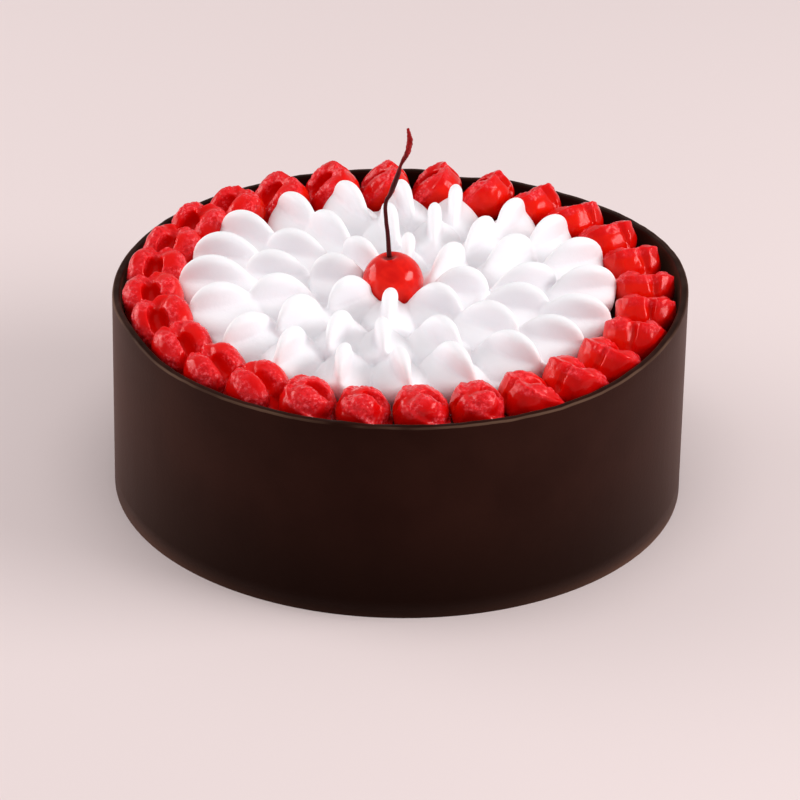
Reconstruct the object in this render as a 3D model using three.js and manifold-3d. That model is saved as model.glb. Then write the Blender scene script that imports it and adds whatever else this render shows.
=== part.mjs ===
// Black forest cake: a dark chocolate collar round a solid cake, a ring of pitted cherry
// halves just inside the collar, three rings of piped cream petals, and one stemmed cherry.
// Millimetres, +Z up. The origin is the centre of the round foot, on the surface it stands on.
import * as THREE from 'three';
import { mergeVertices } from 'three/addons/utils/BufferGeometryUtils.js';
import Module from 'manifold-3d';

const wasm = await Module();
wasm.setup();

// ---------------------------------------------------------------- driving dimensions
const CAKE_D = 200;            // outside of the chocolate collar
const COLLAR_H = 72.8;         // height of the collar where its rim runs level
const COLLAR_T = 2.8;          // thickness of the chocolate
const CAKE_TOP = 61;           // the cake ends below the rim, which leaves a moat for the fruit
const GAP = 0.3;               // clearance between pieces that touch on the real cake
const SEAM_AZ = 83;            // where the two ends of the collar strip meet, degrees
const SEAM_GAP = 0.5;          // width of that joint
const COLLAR_EDGE = 0.5;       // small flat along each edge of the rim
const COLLAR_STEPS = 60;       // straight facets round the collar
const BODY_SEGMENTS = 42;
const BODY_EDGE = 1.5;         // the cake's top edge is rounded off by this much
const RIM_SWELLS = [           // where the rim departs from level: azimuth, half width, rise
  { at: 2, reach: 62, rise: 4.6 },
  { at: 200, reach: 20, rise: 2.0 },
];
const SEAM_SAG = 2.3;          // one end of the strip sinks at the joint
const SEAM_SAG_REACH = 20;

const CHERRIES = 28;           // pitted halves in the ring
const CHERRY_START = 5.8;      // azimuth of the first one, degrees
const CHERRY_RING_R = 85.7;    // radius of the ring through their middles
const RING_INSET = { at: 42, reach: 60, depth: 1.2 };   // where it stands off the wall
const HALF = { width: 10.4, depth: 9.2, height: 10.2 };   // half extents of a cherry half
const SQUARENESS = 2.5;        // 2 is an ellipse, more gives fuller shoulders
const LOBE = { width: 5.2, depth: 4.6, height: 9.4, side: 5.4, out: 0.6, up: 0.4 };
const HOLLOW = { width: 3.2, depth: 4.8, height: 6.6, out: 4.2, up: 1.4 };
const NOTCH_DEPTH = 2.2;       // the top edge dips between the two lobes
const HALF_YAW = 9;            // how far a half may be turned in its place, degrees
const HALF_ROLL = 5;
const FACE_TILT = 48;          // how far the cut sides look up, degrees
const TILT_SWING = 8;          // steeper at one side of the ring, flatter opposite
const TILT_LOW_AZ = 115;
const TILT_SPREAD = 3;
const HALF_AROUND = 12;
const HALF_LEVELS = 8;

const CREAM_X = -0.8;          // the piping sits a little left of the middle
const CREAM_FOOT = CAKE_TOP + GAP;
const BED_R = 71;              // bed of cream that the petals stand on
const BED_SLOPE = 2;
const BED_H = 8;
const PETAL_RINGS = [          // tipAt is the radius of the tips, start an azimuth
  { count: 20, tipAt: 64.3, start: 90, length: 26.4, width: 21.5, height: 22.8 },
  { count: 15, tipAt: 45, start: 98, length: 26, width: 21, height: 23.2 },
  { count: 8, tipAt: 24.5, start: 82, length: 23, width: 18.5, height: 21.5 },
];
const RING_NUMBERS = 40;       // petals are numbered on from here in each further ring
const PETAL_TIP = 5;           // how far the top of a petal stands out from its middle
const PETAL_TURN = 10;         // every petal is turned this way round, degrees
const TURN_SPREAD = 6;
const FINGER_W = 5.6;          // thickness of the finger on top of each petal
const FINGER_FROM = 0.4;       // the body narrows to it between these shares of the height
const FINGER_TO = 0.67;
const FINGER_CAP = 0.86;       // above this share the finger's thickness rounds off
const CREST_CAP = 0.3;         // and above this one its length does
const FOOT_TUCK = 0.14;
const FOOT_TUCK_TO = 0.35;
const KEEL = 0.2;              // soft ridge that turns down the outer end
const KEEL_TURN = 55;
const KEEL_SHARPNESS = 9;
const PETAL_AROUND = 11;
const PETAL_LEVELS = 8;
const SEAT_ROOM = 1.05;        // the hole under the whole cherry is this much wider than it

const FRUIT = new THREE.Vector3(-2.6, 0, 76);   // middle of the whole cherry on top
const FRUIT_R = 10.7;
const FRUIT_TILT = -8.3;       // it leans a little to the left, degrees
const DIMPLE = 1.9;            // depth of the dimple that the stem stands in
const STEM_R = 0.65;
const STEM_FOOT_FLARE = 0.25;
const STEM_KNOT = 0.25;
const STEM_TIP_SWELL = 0.5;
const STEM_AROUND = 8;
const STEM_LEVELS = 16;

const DEG = Math.PI / 180;

// ---------------------------------------------------------------- small helpers
// A repeatable number from -1 to 1 for a piece and one of its features.
function uneven(piece, feature) {
  const wave = Math.sin(piece * 12.9898 + feature * 78.233) * 43758.5453;
  return 2 * (wave - Math.floor(wave)) - 1;
}

function smoothStep(from, to, value) {
  const t = Math.min(Math.max((value - from) / (to - from), 0), 1);
  return t * t * (3 - 2 * t);
}

// A hump of height 1 at an azimuth, down to nothing at a half width either side.
function hump(azimuth, centre, halfWidth) {
  const away = Math.abs(((azimuth - centre + 540) % 360) - 180);
  return away < halfWidth ? 0.5 + 0.5 * Math.cos(Math.PI * away / halfWidth) : 0;
}

function eachVertex(geometry, move) {
  const position = geometry.getAttribute('position');
  const point = new THREE.Vector3();
  for (let i = 0; i < position.count; i++) {
    point.fromBufferAttribute(position, i);
    move(point);
    position.setXYZ(i, point.x, point.y, point.z);
  }
  position.needsUpdate = true;
  return geometry;
}

function toSolid(geometry) {
  const bare = geometry.clone();
  bare.deleteAttribute('normal');
  bare.deleteAttribute('uv');
  const merged = mergeVertices(bare, 1e-4);
  return new wasm.Manifold(new wasm.Mesh({
    numProp: 3,
    vertProperties: new Float32Array(merged.getAttribute('position').array),
    triVerts: new Uint32Array(merged.index.array),
  }));
}

// The outer skin alone: a hollow that joined petals close off is filled.
function outerSkin(solid) {
  const skins = solid.decompose();
  return skins.reduce((best, skin) => (skin.volume() > best.volume() ? skin : best));
}

function toGeometry(solid) {
  const mesh = solid.getMesh();
  const geometry = new THREE.BufferGeometry();
  geometry.setAttribute('position', new THREE.BufferAttribute(mesh.vertProperties, 3));
  geometry.setIndex(new THREE.BufferAttribute(mesh.triVerts, 1));
  geometry.computeVertexNormals();
  return geometry;
}

function addPiece(parent, name, geometry, finish) {
  const mesh = new THREE.Mesh(geometry, new THREE.MeshStandardMaterial(finish));
  mesh.name = name;
  parent.add(mesh);
  return mesh;
}

// ---------------------------------------------------------------- chocolate collar
// The rim isn't quite level: it climbs on the right, lifts a little on the left, and one
// end of the strip sags at the joint.
function rimHeight(azimuth) {
  const swell = RIM_SWELLS.reduce((sum, { at, reach, rise }) => sum + rise * hump(azimuth, at, reach), 0);
  const sinks = azimuth > 0 && azimuth < SEAM_AZ;
  return COLLAR_H + swell - (sinks ? SEAM_SAG * hump(azimuth, SEAM_AZ, SEAM_SAG_REACH) : 0);
}

class CollarArc extends THREE.Curve {
  getPoint(t, target = new THREE.Vector3()) {
    const radius = CAKE_D / 2;
    const seamAngle = SEAM_GAP / radius;
    const angle = SEAM_AZ * DEG + seamAngle / 2 + t * (2 * Math.PI - seamAngle);
    return target.set(radius * Math.cos(angle), radius * Math.sin(angle), 0);
  }
}

// The section is extruded along a straight strip of length 1, which is then wrapped round.
function collarGeometry() {
  const section = new THREE.Shape([
    new THREE.Vector2(0, 0),
    new THREE.Vector2(0, COLLAR_H - COLLAR_EDGE),
    new THREE.Vector2(COLLAR_EDGE, COLLAR_H),
    new THREE.Vector2(COLLAR_T - COLLAR_EDGE, COLLAR_H),
    new THREE.Vector2(COLLAR_T, COLLAR_H - COLLAR_EDGE),
    new THREE.Vector2(COLLAR_T, 0),
  ]);
  const strip = new THREE.ExtrudeGeometry(section, {
    depth: 1, steps: COLLAR_STEPS, bevelEnabled: false,
  });
  const arc = new CollarArc();
  return eachVertex(strip, (point) => {
    const along = arc.getPoint(point.z);
    const azimuth = (Math.atan2(along.y, along.x) / DEG + 360) % 360;
    const inwards = 1 - point.x / (CAKE_D / 2);
    const rise = point.y > COLLAR_H / 2 ? rimHeight(azimuth) - COLLAR_H : 0;
    point.set(along.x * inwards, along.y * inwards, point.y + rise);
  });
}

// ---------------------------------------------------------------- cake inside the collar
function cakeGeometry() {
  const radius = CAKE_D / 2 - COLLAR_T - 1.4 * GAP;
  const profile = [
    new THREE.Vector2(0, 0),
    new THREE.Vector2(radius, 0),
    new THREE.Vector2(radius, CAKE_TOP - BODY_EDGE),
    new THREE.Vector2(radius - BODY_EDGE, CAKE_TOP),
    new THREE.Vector2(0, CAKE_TOP),
  ];
  return new THREE.LatheGeometry(profile, BODY_SEGMENTS).rotateX(Math.PI / 2);
}

// ---------------------------------------------------------------- piped cream
// The quarter circle that closes a form above a level.
function cap(start, level) {
  return Math.sqrt(1 - (Math.max(0, level - start) / (1 - start)) ** 2);
}

// One petal, tail towards -X and outer end towards +X: a round body, a narrow finger above
// it, and a keel that runs down the outer end and turns aside. Each level is an oval that
// swells, shrinks and moves outwards as it climbs.
function petalGeometry({ length, width, height }) {
  const ball = new THREE.SphereGeometry(1, PETAL_AROUND, PETAL_LEVELS).rotateX(Math.PI / 2);
  return eachVertex(ball, (point) => {
    const level = (point.z + 1) / 2;
    const direction = Math.atan2(point.y, point.x);
    const round = Math.sqrt(Math.min(1, 2 * Math.sqrt(level * (1 - level)) + level));
    const tucked = round * (1 - FOOT_TUCK * (1 - smoothStep(0, FOOT_TUCK_TO, level)));
    const finger = smoothStep(FINGER_FROM, FINGER_TO, level);
    const across = (width * (1 - finger) + FINGER_W * finger) * cap(FINGER_CAP, level);
    const along = length * cap(CREST_CAP, level);
    const offKeel = direction - KEEL_TURN * DEG * (1 - level);
    const keel = 1 + KEEL * (1 - level) * Math.max(0, Math.cos(offKeel)) ** KEEL_SHARPNESS;
    point.set(
      Math.cos(direction) * along / 2 * tucked * keel + PETAL_TIP * smoothStep(0.1, 1, level),
      Math.sin(direction) * across / 2 * tucked * keel,
      height * level,
    );
  });
}

function creamGeometry() {
  const bed = new THREE.CylinderGeometry(BED_R, BED_R + BED_SLOPE, BED_H, 30)
    .rotateX(Math.PI / 2).translate(CREAM_X, 0, CREAM_FOOT + BED_H / 2);
  let cream = toSolid(bed);
  PETAL_RINGS.forEach((ring, ringIndex) => {
    for (let i = 0; i < ring.count; i++) {
      const piece = ringIndex * RING_NUMBERS + i;
      const petal = petalGeometry(ring)
        .translate(-PETAL_TIP, 0, 0)
        .scale(1 + 0.04 * uneven(piece, 1), 1 + 0.06 * uneven(piece, 2), 1 + 0.05 * uneven(piece, 3))
        .rotateX(0.07 * uneven(piece, 4))
        .rotateZ((PETAL_TURN + TURN_SPREAD * uneven(piece, 6)) * DEG)
        .translate(ring.tipAt, 0, CREAM_FOOT)
        .rotateZ((ring.start + (360 / ring.count) * (i + 0.1 * uneven(piece, 5))) * DEG)
        .translate(CREAM_X, 0, 0);
      cream = cream.add(toSolid(petal));
    }
  });
  const seat = new THREE.SphereGeometry(FRUIT_R * SEAT_ROOM, 18, 12)
    .rotateX(Math.PI / 2).translate(FRUIT.x, FRUIT.y, FRUIT.z);
  return toGeometry(outerSkin(cream.subtract(toSolid(seat))));
}

// ---------------------------------------------------------------- pitted cherry halves
// How far a point lies inside an oval: 1 at its middle, 0 on its edge and beyond.
function dome(x, z, oval) {
  return Math.sqrt(Math.max(0, 1 - (x / oval.width) ** 2 - ((z - oval.up) / oval.height) ** 2));
}

// The cut side looks along +Y and the round back along -Y. On the cut side two lobes swell
// beside the hollow that the stone left, and the top edge dips between them.
function cherryHalfGeometry(piece) {
  const aside = uneven(piece, 14);
  const ball = new THREE.SphereGeometry(1, HALF_AROUND, HALF_LEVELS);
  eachVertex(ball, (point) => {
    const reach = (Math.abs(point.x) ** SQUARENESS + Math.abs(point.y) ** SQUARENESS
      + Math.abs(point.z) ** SQUARENESS) ** (1 / SQUARENESS);
    const x = HALF.width * point.x / reach;
    const z = HALF.height * point.z / reach;
    const top = smoothStep(0.3, 0, Math.abs(point.x)) * smoothStep(0.5, 1, point.z);
    if (point.y <= 0.01) {
      point.set(x, HALF.depth * Math.min(0, point.y) / reach, z - NOTCH_DEPTH * top);
      return;
    }
    const swell = dome(Math.abs(x) - LOBE.side, z, LOBE);
    const pit = dome(x - aside, z, HOLLOW);
    const flesh = swell > 0 ? LOBE.out + LOBE.depth * swell : 0;
    const floor = HOLLOW.out - HOLLOW.depth * pit;
    point.set(x, pit > 0 ? Math.min(flesh, floor) : flesh, z - NOTCH_DEPTH * top);
  });
  return ball.scale(
    1 + 0.02 * uneven(piece, 11), 1 + 0.04 * uneven(piece, 13), 1 + 0.03 * uneven(piece, 12),
  );
}

function addCherryHalves(parent) {
  for (let i = 0; i < CHERRIES; i++) {
    const azimuth = CHERRY_START + (360 / CHERRIES) * (i + 0.012 * uneven(i, 15));
    const tilt = FACE_TILT - TILT_SWING * Math.cos((azimuth - TILT_LOW_AZ) * DEG)
      + TILT_SPREAD * uneven(i, 16);
    const geometry = cherryHalfGeometry(i)
      .rotateX(tilt * DEG)
      .rotateY(HALF_ROLL * uneven(i, 17) * DEG)
      .rotateZ(HALF_YAW * uneven(i, 21) * DEG);
    geometry.computeBoundingBox();
    const group = new THREE.Group();
    group.rotation.z = azimuth * DEG;
    const half = addPiece(group, `cherry_half_${String(i + 1).padStart(2, '0')}`, geometry,
      { color: 0xb81014, roughness: 0.25, metalness: 0 });
    const reach = CHERRY_RING_R - RING_INSET.depth * hump(azimuth, RING_INSET.at, RING_INSET.reach);
    half.position.set(reach, 0, CAKE_TOP + GAP - geometry.boundingBox.min.z);
    parent.add(group);
  }
}

// ---------------------------------------------------------------- whole cherry and its stem
function fruitGeometry() {
  const steps = 12;
  const profile = [];
  for (let i = 0; i <= steps; i++) {
    const angle = -Math.PI / 2 + Math.PI * i / steps;
    const sunk = angle > 0 ? smoothStep(0.5, 0, Math.cos(angle)) ** 2 : 0;
    const radius = i === 0 || i === steps ? 0 : FRUIT_R * Math.cos(angle);
    profile.push(new THREE.Vector2(radius, FRUIT_R * Math.sin(angle) - DIMPLE * sunk));
  }
  return new THREE.LatheGeometry(profile, 16).rotateX(Math.PI / 2);
}

// The stem is turned as a straight rod with a flared foot and a swollen tip, then bent.
function stemGeometry() {
  const path = new THREE.CatmullRomCurve3([
    new THREE.Vector3(-4.0, 0.0, 85.8),
    new THREE.Vector3(-4.9, 0.8, 92.2),
    new THREE.Vector3(-5.5, 1.2, 99.1),
    new THREE.Vector3(-5.2, 1.4, 104.5),
    new THREE.Vector3(-4.0, 1.5, 109.5),
    new THREE.Vector3(-1.4, 1.5, 118.2),
    new THREE.Vector3(1.0, 1.2, 126.2),
    new THREE.Vector3(1.6, 1.0, 134.2),
  ]);
  const profile = [new THREE.Vector2(0, 0)];
  for (let i = 0; i <= STEM_LEVELS; i++) {
    const t = i / STEM_LEVELS;
    const foot = STEM_FOOT_FLARE * smoothStep(0.12, 0, t);
    const knot = STEM_KNOT * smoothStep(0.05, 0, Math.abs(t - 0.5));
    const tip = STEM_TIP_SWELL * smoothStep(0.88, 0.98, t);
    profile.push(new THREE.Vector2(STEM_R + foot + knot + tip, t));
  }
  profile.push(new THREE.Vector2(0, 1));
  const rod = new THREE.LatheGeometry(profile, STEM_AROUND).rotateX(Math.PI / 2);
  const side = new THREE.Vector3(0, 1, 0);
  return eachVertex(rod, (point) => {
    const t = Math.min(Math.max(point.z, 0), 1);
    const tangent = path.getTangent(t);
    const across = new THREE.Vector3().crossVectors(side, tangent).normalize();
    const back = new THREE.Vector3().crossVectors(tangent, across);
    const centre = path.getPoint(t);
    centre.addScaledVector(across, point.x).addScaledVector(back, point.y);
    point.copy(centre);
  });
}

// ---------------------------------------------------------------- the cake
const cake = new THREE.Group();
addPiece(cake, 'chocolate_collar', collarGeometry(),
  { color: 0x2f1f1c, roughness: 0.4, metalness: 0 });
addPiece(cake, 'cake_body', cakeGeometry(), { color: 0x2a1713, roughness: 0.8, metalness: 0 });
addPiece(cake, 'cream', creamGeometry(), { color: 0xf3eef1, roughness: 0.55, metalness: 0 });
addCherryHalves(cake);
const fruit = addPiece(cake, 'top_cherry', fruitGeometry(),
  { color: 0xc4120e, roughness: 0.12, metalness: 0 });
fruit.position.copy(FRUIT);
fruit.rotation.y = FRUIT_TILT * DEG;
addPiece(cake, 'cherry_stem', stemGeometry(), { color: 0x4a1215, roughness: 0.4, metalness: 0 });

export default cake;
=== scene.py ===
# %% [markdown]
# # A black forest cake
# The construction model gives a solid for each piece of this cake: a dark chocolate collar,
# the cake in it, a ring of pitted cherry halves, a bed of piped cream petals, and one whole
# cherry with its stem. Those solids are exact in size and place but they have few faces.
# This lesson models each piece again as a fine mesh on the same spot, and gives every surface
# a finish made from shader nodes. It starts with the construction, which is called the frame.

# %% Load the frame
import math
from contextlib import contextmanager

import bmesh
import bpy
import numpy as np
from mathutils import Matrix, Vector


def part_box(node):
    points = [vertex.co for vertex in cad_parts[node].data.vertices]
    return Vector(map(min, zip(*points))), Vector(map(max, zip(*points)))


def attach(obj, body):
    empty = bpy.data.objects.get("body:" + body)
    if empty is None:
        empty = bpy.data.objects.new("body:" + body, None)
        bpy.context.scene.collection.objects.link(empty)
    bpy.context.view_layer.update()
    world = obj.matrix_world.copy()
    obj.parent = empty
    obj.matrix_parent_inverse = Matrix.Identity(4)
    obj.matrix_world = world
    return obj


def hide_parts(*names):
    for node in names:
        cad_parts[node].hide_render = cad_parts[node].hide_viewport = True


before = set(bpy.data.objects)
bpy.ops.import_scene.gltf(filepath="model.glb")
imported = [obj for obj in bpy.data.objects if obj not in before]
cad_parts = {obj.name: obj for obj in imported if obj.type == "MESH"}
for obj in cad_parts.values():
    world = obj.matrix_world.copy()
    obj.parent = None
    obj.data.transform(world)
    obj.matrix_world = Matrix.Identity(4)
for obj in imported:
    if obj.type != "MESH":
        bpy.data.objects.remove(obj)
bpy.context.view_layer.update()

MM = 0.001

# %% [markdown]
# ## Camera
# A long lens from 1.6 metres away shows the cake with hardly any perspective. The camera is
# put on a sphere round a point inside the cake, which keeps its distance and its height above
# the horizon as two plain numbers. Then it is aimed a little lower, and rolled a little.

# %% Camera
CAMERA_DISTANCE = 1.597
CAMERA_ELEVATION = math.radians(27.82)
CAMERA_ROLL = math.radians(1.01)
CAMERA_ORBIT = Vector((0, 0, 40 * MM))
CAMERA_AIM = Vector((0.6 * MM, 0, 29.6 * MM))
LENS = 204.7

camera_data = bpy.data.cameras.new("camera")
camera_data.lens = LENS
camera_data.clip_end = 20
camera = bpy.data.objects.new("camera", camera_data)
bpy.context.scene.collection.objects.link(camera)
bpy.context.scene.camera = camera
away = Vector((0, -math.cos(CAMERA_ELEVATION), math.sin(CAMERA_ELEVATION)))
camera.location = CAMERA_ORBIT + away * CAMERA_DISTANCE
look = (CAMERA_AIM - camera.location).to_track_quat("-Z", "Y").to_matrix().to_4x4()
roll = Matrix.Rotation(CAMERA_ROLL, 4, "Z")
camera.matrix_world = Matrix.Translation(camera.location) @ look @ roll
print("camera at", [round(v, 3) for v in camera.location])

# %% [markdown]
# ## Helpers for modelling
# Every operator works on what is selected, and the frame arrives selected, so each step
# first clears the selection. `editing` opens edit mode on one piece and closes it again,
# `pick` selects points by a rule on their place, and `modify` adds a modifier and applies
# it at once, which leaves a plain mesh.

# %% Helpers for modelling
@contextmanager
def editing(piece, kind="VERT"):
    only(piece)
    bpy.ops.object.mode_set(mode="EDIT")
    bpy.ops.mesh.select_mode(type=kind)
    yield
    bpy.ops.object.mode_set(mode="OBJECT")


def only(*pieces):
    bpy.ops.object.select_all(action="DESELECT")
    for piece in pieces:
        piece.select_set(True)
    bpy.context.view_layer.objects.active = pieces[0]


def named(name):
    """Names the primitive that was just added."""
    piece = bpy.context.object
    piece.name = name
    piece.data.name = name
    return piece


def pick(piece, rule):
    mesh = bmesh.from_edit_mesh(piece.data)
    for part in (*mesh.faces, *mesh.edges, *mesh.verts):
        part.select_set(False)
    for point in mesh.verts:
        if rule(point.co):
            point.select_set(True)
    mesh.select_flush(True)
    bmesh.update_edit_mesh(piece.data)


def modify(piece, kind, **settings):
    only(piece)
    modifier = piece.modifiers.new(kind.lower(), kind)
    for key, value in settings.items():
        setattr(modifier, key, value)
    bpy.ops.object.modifier_apply(modifier=modifier.name)


def points(piece):
    """The places of all points of a piece, one row each."""
    flat = np.empty(len(piece.data.vertices) * 3)
    piece.data.vertices.foreach_get("co", flat)
    return flat.reshape(-1, 3)


def weigh(piece, name, weights):
    """A vertex group that says how much each point takes part in what follows."""
    group = piece.vertex_groups.new(name=name)
    for index, weight in enumerate(weights):
        if weight > 0:
            group.add([index], float(weight), "REPLACE")
    return name


def settle(piece):
    """Puts a piece's place and turn into its mesh, so that its object is at the origin."""
    only(piece)
    bpy.ops.object.transform_apply(location=True, rotation=True, scale=True)


def copy_of(piece, name):
    twin = piece.copy()
    twin.data = piece.data.copy()
    twin.name = name
    bpy.context.scene.collection.objects.link(twin)
    return twin


def triangles(piece):
    return sum(len(face.vertices) - 2 for face in piece.data.polygons)


def clouds(name, size, depth=1, basis="BLENDER_ORIGINAL"):
    """A soft random texture for relief, with blobs of one size."""
    texture = bpy.data.textures.new(name, "CLOUDS")
    texture.noise_scale = size
    texture.noise_depth = depth
    texture.noise_basis = basis
    return texture


def dress(piece, finish, slot, *nodes):
    """Gives a finished piece its material and its place in the frame."""
    piece.data.materials.clear()
    piece.data.materials.append(finish)
    only(piece)
    bpy.ops.object.shade_smooth()
    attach(piece, "root")
    if nodes:
        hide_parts(*nodes)
    print(piece.name, triangles(piece), "triangles")


# %% [markdown]
# ## Rules shared with the construction
# The construction draws its small differences from a formula, so that each petal and each
# cherry is a little different and the same ones come back every time. The same formula here
# puts every fine piece exactly where its plain solid is. A random generator would do that
# too, but only as long as nothing is drawn in between. In `uneven`, the feature is only a
# number that keeps one difference apart from another, and the result is between -1 and 1.

# %% Rules shared with the construction
def uneven(piece, feature):
    wave = math.sin(piece * 12.9898 + feature * 78.233) * 43758.5453
    return 2 * (wave - math.floor(wave)) - 1


def smooth_step(start, end, value):
    t = min(max((value - start) / (end - start), 0), 1)
    return t * t * (3 - 2 * t)


def hump(azimuth, centre, half_width):
    off = abs((azimuth - centre + 540) % 360 - 180)
    return 0.5 + 0.5 * math.cos(math.pi * off / half_width) if off < half_width else 0


# %% [markdown]
# ## A way to write finishes
# A node tree is easier to read as a sum than as a web of links. `Wire` is one output of a
# node, and adding or multiplying wires puts the Math nodes in. `Finish.add` makes any other
# node: its settings first, because they decide which sockets it has, and then its sockets.
# The finishes read the place in the piece's own coordinates, in metres, so a noise scale of
# 40 has blobs of about 25 mm.

# %% A way to write finishes
class Wire:
    def __init__(self, finish, socket):
        self.finish = finish
        self.socket = socket

    def maths(self, operation, first, second):
        return self.finish.add("Math", {"operation": operation}, {0: first, 1: second})

    def __add__(self, other):
        return self.maths("ADD", self, other)

    def __rsub__(self, other):
        return self.maths("SUBTRACT", other, self)

    def __mul__(self, other):
        return self.maths("MULTIPLY", self, other)

    __radd__ = __add__
    __rmul__ = __mul__


class Finish:
    def __init__(self, name):
        self.material = bpy.data.materials.new(name)
        self.material.use_nodes = True
        self.tree = self.material.node_tree
        self.tree.nodes.clear()

    def add(self, kind, settings=None, sockets=None, output=0):
        node = self.tree.nodes.new("ShaderNode" + kind)
        for key, value in (settings or {}).items():
            setattr(node, key, value)
        for key, value in (sockets or {}).items():
            self.connect(self.find(node.inputs, key), value)
        return Wire(self, self.find(node.outputs, output))

    def find(self, sockets, key):
        if isinstance(key, int):
            return sockets[key]
        return next(socket for socket in sockets if socket.name == key and socket.enabled)

    def connect(self, socket, value):
        if isinstance(value, Wire):
            self.tree.links.new(value.socket, socket)
        elif socket.type == "RGBA":
            socket.default_value = (*value, 1)
        else:
            socket.default_value = value

    def place(self):
        return self.add("TexCoord", output="Object")

    def height(self):
        return self.add("SeparateXYZ", {}, {0: self.place()}, "Z")

    def mapped(self, **sockets):
        return self.add("Mapping", {}, {"Vector": self.place(), **sockets})

    def length(self, vector):
        return self.add("VectorMath", {"operation": "LENGTH"}, {0: vector}, "Value")

    def mark(self, name):
        """How strongly each point carries an attribute of the mesh."""
        return self.add("Attribute", {"attribute_name": name}, {}, "Fac")

    def noise(self, per_metre, detail=2, roughness=0.5, vector=None):
        sockets = {"Vector": vector or self.place(), "Scale": per_metre, "Detail": detail,
                   "Roughness": roughness}
        return self.add("TexNoise", {}, sockets, "Fac")

    def band(self, value, low, high):
        """0 below low, 1 above high, and a soft change between."""
        settings = {"interpolation_type": "SMOOTHSTEP"}
        sockets = {"Value": value, "From Min": low, "From Max": high}
        return self.add("MapRange", settings, sockets, "Result")

    def blend(self, share, first, second):
        settings = {"data_type": "RGBA", "clamp_factor": True}
        return self.add("Mix", settings, {"Factor": share, "A": first, "B": second}, "Result")

    def bump(self, height, depth, under=None):
        sockets = {"Height": height, "Distance": depth, "Strength": 1.0}
        if under:
            sockets["Normal"] = under
        return self.add("Bump", {}, sockets, "Normal")

    def surface(self, sockets):
        """Closes the finish with its shader, and gives the material."""
        shader = self.add("BsdfPrincipled", {}, sockets, "BSDF")
        end = self.tree.nodes.new("ShaderNodeOutputMaterial")
        self.tree.links.new(shader.socket, end.inputs["Surface"])
        return self.material


# %% [markdown]
# ## Chocolate
# The collar is tempered dark chocolate that set against a smooth sheet, so it is even and
# satin, not glossy. Flat brown would look like plastic. The real surface has soft cloudy
# patches a few centimetres wide, faint smears where the sheet was pulled off, and a fine
# grain, so the colour and the roughness both wander a little. Towards the foot it is painted
# darker, as painted shade. The flat top of the rim is painted darker too, as painted shade,
# and its outer edge is painted a paler brown in places, as a painted highlight; two
# attributes on the points mark where. Sheen adds a soft brown light where the surface turns
# away, as the fat in chocolate does.

# %% Chocolate finish
CHOCOLATE = (0.0145, 0.0036, 0.0025)
CHOCOLATE_PALER = (0.0225, 0.0064, 0.0044)
CHOCOLATE_FOOT_SHADE = (0.0032, 0.0007, 0.0004)
CHOCOLATE_RIM_SHADE = (0.0030, 0.0008, 0.0005)
CHOCOLATE_EDGE_HIGHLIGHT = (0.10, 0.055, 0.036)
FOOT_SHADE = (4 * MM, 50 * MM)


def chocolate_finish():
    finish = Finish("dark chocolate")
    cloudy = finish.noise(28, 3)
    smears = finish.noise(40, 4, 0.6, finish.mapped(Scale=(1, 1, 0.22)))
    grain = finish.noise(900, 3)
    painted_foot_shade = 1 - finish.band(finish.height(), *FOOT_SHADE)
    colour = finish.blend(finish.band(cloudy, 0.3, 0.7), CHOCOLATE, CHOCOLATE_PALER)
    # Painted shade: the chocolate is painted darker towards the foot.
    colour = finish.blend(0.8 * painted_foot_shade, colour, CHOCOLATE_FOOT_SHADE)
    # Painted shade: the flat top of the rim is painted darker.
    colour = finish.blend(finish.mark("rim_top_shade") * 0.85, colour, CHOCOLATE_RIM_SHADE)
    # Painted highlight: the outer edge of the rim is painted a paler brown in patches.
    painted_edge_highlight = finish.mark("rim_edge_highlight") * finish.band(cloudy, 0.3, 0.6)
    colour = finish.blend(painted_edge_highlight, colour, CHOCOLATE_EDGE_HIGHLIGHT)
    roughness = 0.40 + 0.10 * smears + 0.06 * cloudy
    normal = finish.bump(grain, 0.03 * MM, finish.bump(smears, 0.12 * MM))
    return finish.surface({"Base Color": colour, "Roughness": roughness, "Normal": normal,
                           "Specular IOR Level": 0.06, "Specular Tint": (1.0, 0.55, 0.42),
                           "Sheen Weight": 0.14, "Sheen Roughness": 0.45,
                           "Sheen Tint": (0.90, 0.40, 0.27)})


# %% [markdown]
# ## Chocolate collar
# The collar is one strip of chocolate, bent round the cake until its ends nearly meet. It
# could be a cylinder with thickness, but a cylinder has no joint. Here the section of the
# strip is drawn once, its rim is rounded with a bevel, and Spin sweeps it round almost a
# full turn, which leaves the joint open and closes both ends.

# %% Collar: spin the section
collar_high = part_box("chocolate_collar")[1]
CAKE_R = 100 * MM
COLLAR_H = 72.8 * MM
COLLAR_T = 2.8 * MM
RIM_ROUND = 0.9 * MM
RIM_SEGMENTS = 5
SEAM_AZ = 83
SEAM_GAP = 0.06 * MM
COLLAR_COLUMNS = 360
WALL_ROWS = 10

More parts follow.
